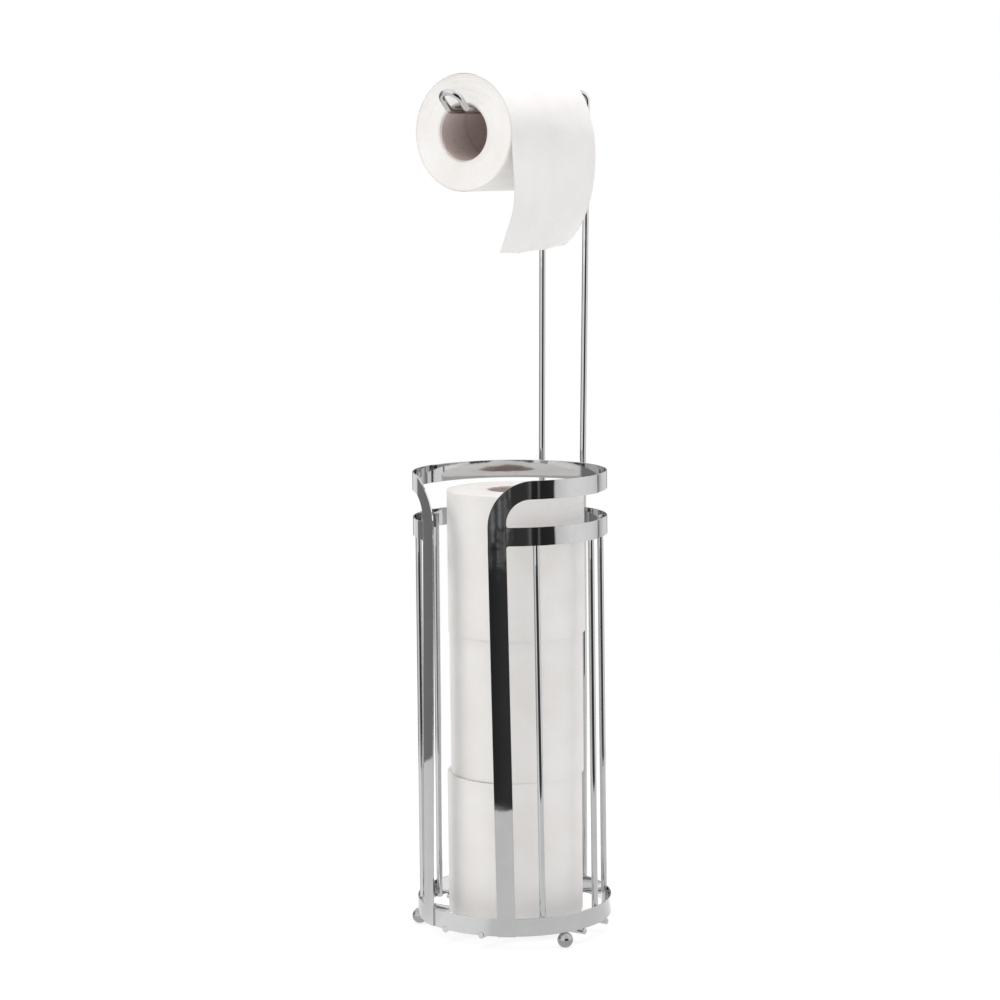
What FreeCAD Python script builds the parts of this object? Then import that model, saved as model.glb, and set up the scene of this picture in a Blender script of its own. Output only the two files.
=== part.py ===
"""Free-standing toilet roll stand: a round basket of chromed strip and wire that holds three
reserve rolls, and a tall wire loop whose narrow arm carries the roll in use.

Millimetres, +Z up.  The origin is on the floor, on the basket's axis.  The open front of the
basket and the tip of the arm point along -Y.  Angles round the basket count from the front
(-Y), and are positive towards +X.
"""
import FreeCAD, Part
import math
import os
import Sketcher

Vector = FreeCAD.Vector
Rotation = FreeCAD.Rotation
UP = Vector(0, 0, 1)
ALONG_X = Vector(1, 0, 0)

# Driving dimensions: millimetres and degrees.
SIZES = {
    # the welded basket sits turned by this angle on the uprights
    "basket_turn": 2.4,
    # strip: the front panels wrap round the hoops, and the base hoop is a little wider
    "hoop_outer_radius": 69.0,
    "base_outer_radius": 70.3,
    "strip_thickness": 1.0,
    "strip_width": 13.0,
    "base_edge": 10.85,
    "middle_edge": 288.0,
    "top_edge": 320.3,
    "strap_angle": 24.6,
    "strap_splay": 3.2,
    "outline_angle": 32.6,
    "panel_end_angle": 94.6,
    "band_end_angle": 91.6,
    "corner_outside": 32.5,
    "corner_inside": 17.0,
    "corner_small": 1.8,
    "cut_margin": 2.0,
    # wire
    "wire_diameter": 4.5,
    "rod_above_base_edge": 0.6,
    "rod_below_middle_top": 2.3,
    "rod_front_angle": 47.5,
    "rod_front_splay": 2.2,
    "rod_side_angle": 91.3,
    "rod_back_angle": 134.6,
    "base_wire_offset": 15.2,
    "base_wire_proud": 0.3,
    # ball feet
    "ball_diameter": 11.2,
    "ball_front_angle": 63.0,
    "ball_back_angle": 180.0,
    # uprights and arm
    "foot_spacing": 32.7,
    "foot_offset": -2.45,
    "hump_spacing": 38.1,
    "hump_offset": -0.65,
    "upright_foot": 13.5,
    "lean_start": 341.0,
    "lean_back": 6.0,
    "hump_top": 600.6,
    "hump_radius": 6.0,
    "arm_spacing": 15.0,
    "arm_level": 587.3,
    "arm_bend_radius": 7.0,
    "arm_back": 56.0,
    "arm_front": 57.5,
    "lip_slope": 43.0,
    "lip_leg": 10.0,
    # rolls
    "roll_length": 102.0,
    "roll_gap": 0.2,
    "reserve_bottom_radius": 48.7,
    "reserve_middle_radius": 48.0,
    "reserve_top_radius": 49.2,
    "bottom_shift": 0.9,
    "middle_shift": 2.9,
    "top_shift": 3.45,
    "shift_angle": 125.0,
    "core_outer_radius": 20.3,
    "core_thickness": 0.8,
    "hanging_radius": 40.2,
    "hanging_length": 104.0,
    "hanging_front": 52.3,
    "running_gap": 0.3,
    "sheet_thickness": 0.6,
    "sheet_drop": 48.0,
    "sheet_curl_radius": 55.0,
    "sheet_curl_angle": 37.6,
}

doc = FreeCAD.newDocument("toilet_roll_stand")
sheet = doc.addObject("Spreadsheet::Sheet", "sizes")
for row, (alias, number) in enumerate(SIZES.items(), start=1):
    sheet.set(f"A{row}", alias)
    sheet.set(f"B{row}", str(number))
    sheet.setAlias(f"B{row}", alias)
doc.recompute()

subparts = []


def value(expression):
    """The number that an expression over the sheet gives."""
    return float(sheet.evalExpression(str(expression)))


def bind(item, **expressions):
    """Binds properties of a document object to expressions over the sheet."""
    for name, expression in expressions.items():
        item.setExpression(name, expression)


def keep(item, name, placement=None):
    """Lists an object as a sub-part, under its own label."""
    item.Label = name
    if placement is not None:
        item.Placement = placement
    subparts.append(item)
    return item


def round_basket(radius, angle, height=0.0):
    """A point at an angle from the front of the basket."""
    turn = math.radians(angle)
    point = Vector(radius * math.sin(turn), -radius * math.cos(turn), height)
    return basket_turn().multVec(point)


def basket_turn(angle=0.0):
    """The turn of the whole basket on the uprights, and a further angle round it."""
    return Rotation(UP, value("sizes.basket_turn") + angle)


# Sketches whose lines and circles are bound to the sheet


def new_sketch(body, name, role):
    """An empty sketch on one of the body's own origin planes."""
    plane = next(f for f in body.Origin.OriginFeatures if f.Role == role)
    sketch = body.newObject("Sketcher::SketchObject", name)
    sketch.AttachmentSupport = (plane, [""])
    sketch.MapMode = "FlatFace"
    return sketch


def constrain(sketch, expression, kind, *where):
    """Adds a dimension that follows an expression."""
    index = sketch.addConstraint(Sketcher.Constraint(kind, *where, value(expression)))
    sketch.setExpression(f"Constraints[{index}]", expression)


def add_circle(sketch, radius, across="0", up="0"):
    centre = Vector(value(across), value(up), 0)
    circle = sketch.addGeometry(Part.Circle(centre, UP, value(radius)))
    constrain(sketch, radius, "Radius", circle)
    constrain(sketch, across, "DistanceX", -1, 1, circle, 3)
    constrain(sketch, up, "DistanceY", -1, 1, circle, 3)


def add_outline(sketch, corners):
    """A closed outline.  A corner is (across, up) or, where it is rounded between a level and
    an upright side, (across, up, radius); each is an expression."""
    count = len(corners)
    points = [Vector(value(c[0]), value(c[1]), 0) for c in corners]
    radii = [value(c[2]) if len(c) > 2 else 0.0 for c in corners]
    sides = []
    for i in range(count):
        start, end = points[i], points[(i + 1) % count]
        along = (end - start).normalize()
        start = start + along * radii[i]
        end = end - along * radii[(i + 1) % count]
        side = sketch.addGeometry(Part.LineSegment(start, end))
        if abs(along.y) < 1e-9:
            sketch.addConstraint(Sketcher.Constraint("Horizontal", side))
            constrain(sketch, corners[i][1], "DistanceY", -1, 1, side, 1)
        elif abs(along.x) < 1e-9:
            sketch.addConstraint(Sketcher.Constraint("Vertical", side))
            constrain(sketch, corners[i][0], "DistanceX", -1, 1, side, 1)
        sides.append((side, start, end))
    for i in range(count):
        before, after = sides[i - 1], sides[i]
        if not radii[i]:
            sketch.addConstraint(Sketcher.Constraint("Coincident", before[0], 2, after[0], 1))
            continue
        centre = before[2] + after[1] - points[i]
        angles = [math.atan2(p.y - centre.y, p.x - centre.x) for p in (before[2], after[1])]
        forwards = (angles[1] - angles[0]) % (2 * math.pi) < math.pi
        first, last = angles if forwards else reversed(angles)
        circle = Part.Circle(centre, UP, radii[i])
        arc = sketch.addGeometry(Part.ArcOfCircle(circle, first, last))
        near, far = (1, 2) if forwards else (2, 1)
        sketch.addConstraint(Sketcher.Constraint("Tangent", before[0], 2, arc, near))
        sketch.addConstraint(Sketcher.Constraint("Tangent", arc, far, after[0], 1))
        constrain(sketch, corners[i][2], "Radius", arc)


def revolve(body, sketch, angle):
    """Turns a sketch on the YZ plane about +Z, half of the angle to each side."""
    feature = body.newObject("PartDesign::Revolution", f"{body.Name}_turned")
    feature.Profile = sketch
    feature.ReferenceAxis = (sketch, ["V_Axis"])
    feature.Midplane = True
    bind(feature, Angle=angle)
    return feature


def pocket(body, sketch, both_ways):
    """Cuts a sketch right through the body and checks that it took something away."""
    doc.recompute()
    before = body.Shape.Volume
    feature = body.newObject("PartDesign::Pocket", f"{sketch.Name}_cut")
    feature.Profile = sketch
    feature.Type = "ThroughAll"
    feature.Midplane = both_ways
    feature.Reversed = not both_ways
    doc.recompute()
    if not 0 < body.Shape.Volume < before - 1:
        raise RuntimeError(f"{sketch.Name} cuts nothing")


# Strip: the base hoop, the two back bands and the two F-shaped front panels


def tube(name, outer, inner, length, placement=None):
    """A round tube on the XY plane, padded along +Z."""
    body = doc.addObject("PartDesign::Body", name)
    sketch = new_sketch(body, f"{name}_section", "XY_Plane")
    add_circle(sketch, outer)
    add_circle(sketch, inner)
    pad = body.newObject("PartDesign::Pad", f"{name}_pad")
    pad.Profile = sketch
    bind(pad, Length=length)
    return keep(body, name, placement)


def base_ring():
    """The full hoop at the bottom, notched from below where the two long base wires cross."""
    body = tube(
        "base_ring",
        "sizes.base_outer_radius",
        "sizes.base_outer_radius - sizes.strip_thickness",
        "sizes.strip_width",
        FreeCAD.Placement(Vector(0, 0, value("sizes.base_edge")), basket_turn()),
    )
    notches = new_sketch(body, "wire_notches", "XZ_Plane")
    for side in ("", "-"):
        add_circle(notches, "sizes.wire_diameter / 2", f"{side}sizes.base_wire_offset")
    pocket(body, notches, both_ways=True)


def back_band(name, edge):
    """A part hoop round the back, whose ends lie inside the ends of the front panels' arms."""
    body = doc.addObject("PartDesign::Body", name)
    section = new_sketch(body, f"{name}_section", "YZ_Plane")
    inner = "sizes.hoop_outer_radius - sizes.strip_thickness"
    outer = "sizes.hoop_outer_radius"
    add_outline(
        section,
        [(inner, "0"), (outer, "0"), (outer, "sizes.strip_width"), (inner, "sizes.strip_width")],
    )
    revolve(body, section, "360 - 2 * sizes.band_end_angle")
    keep(body, name, FreeCAD.Placement(Vector(0, 0, value(edge)), basket_turn()))


def front_panel(name, side):
    """A stamped F wrapped round the hoops: an upright strap that turns through a wide corner
    into the top arm, with a second arm below it.  The strap splays a little towards its foot
    and widens with the base hoop.  side is 1 towards +X and -1 towards -X."""
    sign = "" if side > 0 else "-"
    body = doc.addObject("PartDesign::Body", name)
    top = "sizes.top_edge + sizes.strip_width"
    middle_top = "sizes.middle_edge + sizes.strip_width"
    base_top = "sizes.base_edge + sizes.strip_width"
    inner = "-sizes.hoop_outer_radius"
    outer = "-(sizes.hoop_outer_radius + sizes.strip_thickness)"
    base_inner = "-sizes.base_outer_radius"
    base_outer = "-(sizes.base_outer_radius + sizes.strip_thickness)"
    section = new_sketch(body, f"{name}_section", "YZ_Plane")
    add_outline(
        section,
        [
            (base_outer, "sizes.base_edge"),
            (base_inner, "sizes.base_edge"),
            (base_inner, base_top),
            (inner, "sizes.middle_edge"),
            (inner, top),
            (outer, top),
            (outer, "sizes.middle_edge"),
            (base_outer, base_top),
        ],
    )
    revolve(body, section, "2 * (sizes.panel_end_angle - sizes.outline_angle)")

    radius = "(sizes.hoop_outer_radius + sizes.strip_thickness)"
    base_radius = "(sizes.base_outer_radius + sizes.strip_thickness)"
    middle = f"{radius} * sin(sizes.strap_angle - sizes.outline_angle)"
    foot = f"{base_radius} * sin(sizes.strap_angle + sizes.strap_splay - sizes.outline_angle)"
    front_edge = f"{sign}({middle} - sizes.strip_width / 2)"
    back_edge = f"{sign}({middle} + sizes.strip_width / 2)"
    front_foot = f"{sign}({foot} - sizes.strip_width / 2)"
    back_foot = f"{sign}({foot} + sizes.strip_width / 2)"
    corner_end = f"{sign}({middle} - sizes.strip_width / 2 + sizes.corner_outside + 1)"
    beyond_front = f"{sign}(-{base_radius} - sizes.cut_margin)"
    beyond_back = f"{sign}({base_radius} + sizes.cut_margin)"
    below = "sizes.base_edge - sizes.cut_margin"
    above = f"{top} + sizes.cut_margin"
    splay_end = "sizes.middle_edge - sizes.corner_small - 1"
    cuts = {
        "window": [
            (back_edge, middle_top, "sizes.corner_small"),
            (beyond_back, middle_top),
            (beyond_back, "sizes.top_edge"),
            (back_edge, "sizes.top_edge", "sizes.corner_inside"),
        ],
        "side": [
            (back_foot, below),
            (beyond_back, below),
            (beyond_back, "sizes.middle_edge"),
            (back_edge, "sizes.middle_edge", "sizes.corner_small"),
            (back_edge, splay_end),
        ],
        "front": [
            (beyond_front, below),
            (front_foot, below),
            (front_edge, splay_end),
            (front_edge, top, "sizes.corner_outside"),
            (corner_end, top),
            (corner_end, above),
            (beyond_front, above),
        ],
    }
    for cut, corners in cuts.items():
        sketch = new_sketch(body, f"{name}_{cut}", "XZ_Plane")
        add_outline(sketch, corners)
        pocket(body, sketch, both_ways=False)
    turn = basket_turn(side * value("sizes.outline_angle"))
    keep(body, name, FreeCAD.Placement(Vector(), turn))


# Wire: the basket's rods, the base and the ball feet


def wire(name, length, start, direction):
    """A straight length of wire from a point, in a direction."""
    rod = doc.addObject("Part::Cylinder", name)
    bind(rod, Radius="sizes.wire_diameter / 2", Height=length)
    rod.Placement = FreeCAD.Placement(start, Rotation(UP, direction))
    return rod


def basket_rods():
    """Six rods up the inside of the hoops.  The front pair is welded to the arms that wrap
    round the hoops, so its tops stand out by one strip's thickness, and its feet splay."""
    inset = value("sizes.strip_thickness + sizes.wire_diameter / 2")
    foot_radius = value("sizes.base_outer_radius") - inset
    top_radius = value("sizes.hoop_outer_radius") - inset
    low = value("sizes.base_edge + sizes.rod_above_base_edge")
    high = value("sizes.middle_edge + sizes.strip_width - sizes.rod_below_middle_top")
    proud = value("sizes.strip_thickness")
    splay = value("sizes.rod_front_splay")
    for place, out, spread in (("front", proud, splay), ("side", 0.0, 0.0), ("back", 0.0, 0.0)):
        for side, sign in (("right", 1), ("left", -1)):
            angle = value(f"sizes.rod_{place}_angle")
            foot = round_basket(foot_radius, sign * (angle + spread), low)
            head = round_basket(top_radius + out, sign * angle, high)
            name = f"rod_{place}_{side}"
            keep(wire(name, str((head - foot).Length), foot, head - foot), name)


def base_wires():
    """Two long wires from front to back, let into the base hoop, and two cross wires under
    the hoop, welded into the long ones to half their thickness."""
    reach = "sqrt((sizes.base_outer_radius + sizes.base_wire_proud) ^ 2 - sizes.base_wire_offset ^ 2)"
    half = value(reach)
    offset = value("sizes.base_wire_offset")
    upper = value("sizes.base_edge")
    lower = value("sizes.base_edge - sizes.wire_diameter / 2")
    turn = basket_turn()
    backward, rightward = turn.multVec(Vector(0, -1, 0)), turn.multVec(ALONG_X)
    long_wires = []
    for side, sign in (("right", 1), ("left", -1)):
        name = f"base_wire_long_{side}"
        start = turn.multVec(Vector(sign * offset, half, upper))
        long_wires.append(keep(wire(name, f"2 * {reach}", start, backward), name))
    pair = doc.addObject("Part::MultiFuse", "long_wire_pair")
    pair.Shapes = long_wires
    for side, sign in (("front", -1), ("back", 1)):
        name = f"base_wire_cross_{side}"
        start = turn.multVec(Vector(-half, sign * offset, lower))
        whole = wire(f"{name}_whole", f"2 * {reach}", start, rightward)
        saddle = doc.addObject("Part::Cut", name)
        saddle.Base = whole
        saddle.Tool = pair
        keep(saddle, name)


def ball_feet():
    """Three balls under the base hoop, each with a small flat where it is welded to it."""
    radius = value("sizes.ball_diameter / 2")
    circle = value("sizes.base_outer_radius - sizes.strip_thickness / 2")
    front, back = value("sizes.ball_front_angle"), value("sizes.ball_back_angle")
    for name, angle in (("right", front), ("left", -front), ("back", back)):
        ball = doc.addObject("Part::Sphere", f"ball_foot_{name}")
        bind(
            ball,
            Radius="sizes.ball_diameter / 2",
            Angle2="asin((sizes.base_edge - sizes.ball_diameter / 2) / (sizes.ball_diameter / 2))",
        )
        centre = round_basket(circle, angle, radius)
        keep(ball, f"ball_foot_{name}", FreeCAD.Placement(centre, Rotation()))


# The uprights and the arm: one wire, bent


def bent_path(points, radii):
    """Straight runs through the points, with an arc of the given radius at each inner one."""
    edges = []
    start = points[0]
    for i, radius in enumerate(radii, start=1):
        corner = points[i]
        before = (points[i - 1] - corner).normalize()
        after = (points[i + 1] - corner).normalize()
        half_turn = (math.pi - before.getAngle(after)) / 2
        back = radius * math.tan(half_turn)
        middle = (before + after).normalize() * (radius / math.cos(half_turn) - radius)
        arc = Part.Arc(corner + before * back, corner + middle, corner + after * back)
        if (arc.StartPoint - start).Length > 1e-6:
            edges.append(Part.LineSegment(start, arc.StartPoint).toShape())
        edges.append(arc.toShape())
        start = arc.EndPoint
    edges.append(Part.LineSegment(start, points[-1]).toShape())
    return Part.Wire(edges)


def hump_corner(foot, low):
    """Where the upright and the slope that runs down to the arm would meet, so that the arc
    between them tops out at the hump's height."""
    height = value("sizes.hump_top")
    radius = value("sizes.hump_radius")
    corner = Vector(foot.x, foot.y, height)
    for _ in range(40):
        slope = (low - corner).normalize()
        half_turn = (math.pi - UP.negative().getAngle(slope)) / 2
        corner.z = height - radius + radius * math.tan(half_turn)
    return corner


def upright_across(sign, height):
    """Sideways place of an upright at a height: the pair spreads upwards from its feet, which
    stand a little to the left."""
    low = value("sizes.upright_foot")
    share = (height - low) / (value("sizes.hump_top") - low)
    middle = value("sizes.foot_offset") * (1 - share) + value("sizes.hump_offset") * share
    spacing = value("sizes.foot_spacing") * (1 - share) + value("sizes.hump_spacing") * share
    return middle + sign * spacing / 2


def hanger_side(sign):
    """The corners of one side's wire, from its foot to the end of the lip's leg."""
    circle = value("sizes.hoop_outer_radius + sizes.wire_diameter / 2")
    base_circle = value("sizes.base_outer_radius + sizes.wire_diameter / 2")
    low, lean, high = (value(f"sizes.{name}") for name in ("upright_foot", "lean_start", "hump_top"))
    foot_x, bend_x, hump_x = (upright_across(sign, height) for height in (low, lean, high))
    arm_half = value("sizes.arm_spacing / 2")
    level = value("sizes.arm_level")
    slope = math.radians(value("sizes.lip_slope"))
    along = Vector(0, -math.cos(slope), math.sin(slope))

    foot = Vector(foot_x, math.sqrt(base_circle**2 - foot_x**2), low)
    bend = Vector(bend_x, math.sqrt(circle**2 - bend_x**2), lean)
    leaned = Vector(hump_x, bend.y + value("sizes.lean_back"), high)
    arm_back = Vector(sign * arm_half, value("sizes.arm_back"), level)
    arm_front = Vector(sign * arm_half, -value("sizes.arm_front"), level)
    lip = arm_front + along * (value("sizes.lip_leg") + arm_half)
    return [foot, bend, hump_corner(leaned, arm_back), arm_back, arm_front, lip]


def hanger_loop():
    """Both uprights, the humps at their tops, the two arm wires and the turned-up lip."""
    right, left = hanger_side(1), hanger_side(-1)
    foot, bend = right[:2]
    arm_half = value("sizes.arm_spacing / 2")
    bends = [
        value("sizes.arm_bend_radius") * 20,
        value("sizes.hump_radius"),
        value("sizes.arm_bend_radius"),
        value("sizes.arm_bend_radius"),
        arm_half,
    ]
    path = doc.addObject("Part::Feature", "hanger_path")
    path.Shape = bent_path(right + left[::-1], bends + bends[::-1])

    section = doc.addObject("Part::Circle", "hanger_section")
    bind(section, Radius="sizes.wire_diameter / 2")
    section.Placement = FreeCAD.Placement(foot, Rotation(UP, bend - foot))

    loop = doc.addObject("Part::Sweep", "hanger_loop")
    loop.Sections = [section]
    loop.Spine = (path, [f"Edge{i + 1}" for i in range(len(path.Shape.Edges))])
    loop.Solid = True
    loop.Frenet = False
    keep(loop, "hanger_loop")
    doc.recompute()
    exact = math.pi * value("sizes.wire_diameter / 2") ** 2 * path.Shape.Length
    if abs(loop.Shape.Volume / exact - 1) > 0.002:
        raise RuntimeError("the hanger's wire isn't its section times its length")


# The rolls


def paper_and_core(name, radius, length, placement, core_placement):
    """A roll of paper on its cardboard core."""
    core_inner = "sizes.core_outer_radius - sizes.core_thickness"
    tube(f"{name}_paper", radius, "sizes.core_outer_radius", length, placement)
    tube(f"{name}_core", "sizes.core_outer_radius", core_inner, "sizes.roll_length", core_placement)


def reserve_rolls():
    """Three rolls on end, one on the other, on the base wires, each a little off centre."""
    height = value("sizes.base_edge + sizes.wire_diameter / 2 + sizes.roll_gap")
    angle = value("sizes.shift_angle")
    for place in ("bottom", "middle", "top"):
        shift = value(f"sizes.{place}_shift")
        spot = FreeCAD.Placement(round_basket(shift, angle, height), Rotation())
        radius = f"sizes.reserve_{place}_radius"
        paper_and_core(f"reserve_{place}", radius, "sizes.roll_length", spot, spot)
        height += value("sizes.roll_length + sizes.roll_gap")


def hanging_axis():
    """Height of the hanging roll's axis: its core hangs from the two arm wires."""
    bore = value("sizes.core_outer_radius - sizes.core_thickness")
    reach = bore - value("sizes.wire_diameter / 2 + sizes.running_gap")
    return value("sizes.arm_level") - math.sqrt(reach**2 - value("sizes.arm_spacing / 2") ** 2)


def hanging_roll():
    """The roll in use, on the arm, with its axis along Y."""
    front = -value("sizes.hanging_front")
    inset = value("(sizes.hanging_length - sizes.roll_length) / 2")
    axis = hanging_axis()
    lying = Rotation(ALONG_X, -90)
    paper_and_core(
        "hanging_roll",
        "sizes.hanging_radius",
        "sizes.hanging_length",
        FreeCAD.Placement(Vector(0, front, axis), lying),
        FreeCAD.Placement(Vector(0, front + inset, axis), lying),
    )


def loose_sheet():
    """The paper's outer layer and its free end: once round the roll, down from the layer's +X
    side, and curling in."""
    body = doc.addObject("PartDesign::Body", "loose_sheet")
    inner = "sizes.hanging_radius + sizes.running_gap"
    outer = "sizes.hanging_radius + sizes.running_gap + sizes.sheet_thickness"
    radius = "(sizes.hanging_radius + sizes.running_gap + sizes.sheet_thickness / 2)"
    layer = new_sketch(body, "layer_section", "XZ_Plane")
    add_circle(layer, inner)
    add_circle(layer, outer)
    wound = body.newObject("PartDesign::Pad", "wound_layer")
    wound.Profile = layer
    wound.Midplane = True
    bind(wound, Length="sizes.hanging_length")

    curl = "sizes.sheet_curl_radius"
    route = new_sketch(body, "free_end_route", "XZ_Plane")
    over = value(radius)
    drop = value("sizes.sheet_drop")
    end_curl = value(curl)
    turn = math.radians(value("sizes.sheet_curl_angle"))
    side = route.addGeometry(Part.LineSegment(Vector(over, 0, 0), Vector(over, -drop, 0)))
    curl_centre = Vector(over - end_curl, -drop, 0)
    curling = Part.ArcOfCircle(Part.Circle(curl_centre, UP, end_curl), 2 * math.pi - turn, 2 * math.pi)
    curl_arc = route.addGeometry(curling)
    constrain(route, radius, "DistanceX", -1, 1, side, 1)
    route.addConstraint(Sketcher.Constraint("PointOnObject", side, 1, -1))
    route.addConstraint(Sketcher.Constraint("Vertical", side))
    route.addConstraint(Sketcher.Constraint("Tangent", side, 2, curl_arc, 2))
    constrain(route, curl, "Radius", curl_arc)
    constrain(route, "-sizes.sheet_drop", "DistanceY", -1, 1, side, 2)
    end_height = "-sizes.sheet_drop - sizes.sheet_curl_radius * sin(sizes.sheet_curl_angle)"
    constrain(route, end_height, "DistanceY", -1, 1, curl_arc, 1)

    section = new_sketch(body, "free_end_section", "XY_Plane")
    near = "-sizes.hanging_length / 2"
    far = "sizes.hanging_length / 2"
    add_outline(section, [(inner, near), (outer, near), (outer, far), (inner, far)])
    free_end = body.newObject("PartDesign::AdditivePipe", "free_end")
    free_end.Profile = section
    free_end.Spine = route
    middle = value("sizes.hanging_length / 2 - sizes.hanging_front")
    keep(body, "loose_sheet", FreeCAD.Placement(Vector(0, middle, hanging_axis()), Rotation()))


def check_and_export():
    """Stops if anything in the document failed, and writes each sub-part to its own file."""
    doc.recompute()
    failed = [o.Name for o in doc.Objects if {"Invalid", "Error"} & set(o.State)]
    if failed:
        raise RuntimeError(f"these objects failed: {failed}")
    for item in subparts:
        if item.Shape.isNull() or not item.Shape.isValid() or not item.Shape.Solids:
            raise RuntimeError(f"{item.Label} has no valid shape")
    os.makedirs("parts", exist_ok=True)
    for item in subparts:
        item.Shape.exportStep(f"parts/{item.Label}.step")
        box = item.Shape.BoundBox
        spans = [f"{low:8.2f}..{high:8.2f}" for low, high in (
            (box.XMin, box.XMax), (box.YMin, box.YMax), (box.ZMin, box.ZMax))]
        print(f"{item.Label:26s} {item.Shape.Volume:10.1f} mm3  " + "  ".join(spans))


base_ring()
back_band("middle_back_band", "sizes.middle_edge")
back_band("top_back_band", "sizes.top_edge")
front_panel("front_panel_right", 1)
front_panel("front_panel_left", -1)
basket_rods()
base_wires()
ball_feet()
hanger_loop()
reserve_rolls()
hanging_roll()
loose_sheet()
check_and_export()
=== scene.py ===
"""The looks of a free-standing chrome toilet roll stand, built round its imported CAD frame.

Metres, +Z up, with the origin on the floor under the basket's axis.  The basket's open front and
the arm's tip point along -Y.  Angles round the basket count from -Y and are positive towards +X.
"""
import math

import bmesh
import bpy
from mathutils import Matrix, Vector, noise

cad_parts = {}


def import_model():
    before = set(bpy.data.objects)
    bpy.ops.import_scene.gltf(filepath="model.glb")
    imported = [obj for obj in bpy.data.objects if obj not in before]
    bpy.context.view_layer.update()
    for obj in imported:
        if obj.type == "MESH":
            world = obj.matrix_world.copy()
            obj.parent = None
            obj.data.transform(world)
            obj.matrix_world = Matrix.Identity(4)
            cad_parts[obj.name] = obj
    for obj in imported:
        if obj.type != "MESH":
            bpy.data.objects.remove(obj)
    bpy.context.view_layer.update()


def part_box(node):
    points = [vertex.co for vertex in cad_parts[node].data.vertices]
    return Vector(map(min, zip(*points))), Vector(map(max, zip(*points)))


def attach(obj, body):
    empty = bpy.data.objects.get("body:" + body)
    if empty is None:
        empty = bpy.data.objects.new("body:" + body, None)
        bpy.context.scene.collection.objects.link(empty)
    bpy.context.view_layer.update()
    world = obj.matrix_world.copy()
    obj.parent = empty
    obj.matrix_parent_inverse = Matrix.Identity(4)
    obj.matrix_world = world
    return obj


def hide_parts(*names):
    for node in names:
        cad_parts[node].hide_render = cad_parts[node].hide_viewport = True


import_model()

MM = 0.001

# ---------------------------------------------------------------- sizes read from the frame

base_low, base_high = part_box("base_ring")
middle_low, middle_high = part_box("middle_back_band")
top_low, top_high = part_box("top_back_band")
panel_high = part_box("front_panel_right")[1]
cross_low, cross_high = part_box("base_wire_cross_front")

BASE_RADIUS = base_high.x
HOOP_RADIUS = top_high.y
PANEL_RADIUS = panel_high.x
THICKNESS = PANEL_RADIUS - HOOP_RADIUS
BASE_EDGE, BASE_TOP = base_low.z, base_high.z
MIDDLE_EDGE, MIDDLE_TOP = middle_low.z, middle_high.z
TOP_EDGE, TOP_TOP = top_low.z, top_high.z
STRIP_WIDTH = BASE_TOP - BASE_EDGE
WIRE = (cross_high.z - cross_low.z) / 2

# The same driving dimensions as the CAD model, where its boxes don't give them.  Angles are in
# degrees.
BASKET_TURN = 2.4
STRAP_ANGLE, STRAP_SPLAY = 24.6, 3.2
OUTLINE_ANGLE = 32.6
PANEL_END = 94.6
BAND_END = 91.6
CORNER_OUTSIDE = 32.5 * MM
CORNER_INSIDE = 17 * MM
CORNER_SMALL = 1.8 * MM
CUT_MARGIN = 2 * MM
ROD_LOW, ROD_HIGH = BASE_EDGE + 0.6 * MM, MIDDLE_TOP - 2.3 * MM
ROD_ANGLES = {"front": 47.5, "side": 91.3, "back": 134.6}
ROD_FRONT_SPLAY = 2.2
BASE_WIRE_OFFSET = 15.2 * MM
BASE_WIRE_PROUD = 0.3 * MM
FOOT_SPACING, FOOT_OFFSET = 32.7 * MM, -2.45 * MM
HUMP_SPACING, HUMP_OFFSET = 38.1 * MM, -0.65 * MM
LEAN_START, LEAN_BACK = 341 * MM, 6 * MM
HUMP_TOP, HUMP_RADIUS = 600.6 * MM, 6 * MM
ARM_HALF, ARM_LEVEL, ARM_BEND = 7.5 * MM, 587.3 * MM, 7 * MM
ARM_BACK, ARM_FRONT = 56 * MM, -57.5 * MM
LIP_SLOPE, LIP_LEG = math.radians(43), 10 * MM

# The photograph's viewpoint.
VIEW_AZIMUTH = math.radians(35)
VIEW_DISTANCE, VIEW_HEIGHT = 1.9379, 0.5512
VIEW_YAW, VIEW_PITCH, VIEW_ROLL = (math.radians(a) for a in (-0.224, 7.041, -0.629))
VIEW_LENS = 98.3


def on_basket(radius, angle, height):
    """A point at an angle, in degrees, from the front of the basket."""
    turn = math.radians(angle + BASKET_TURN)
    return Vector((radius * math.sin(turn), -radius * math.cos(turn), height))


# ---------------------------------------------------------------- node materials


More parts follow.
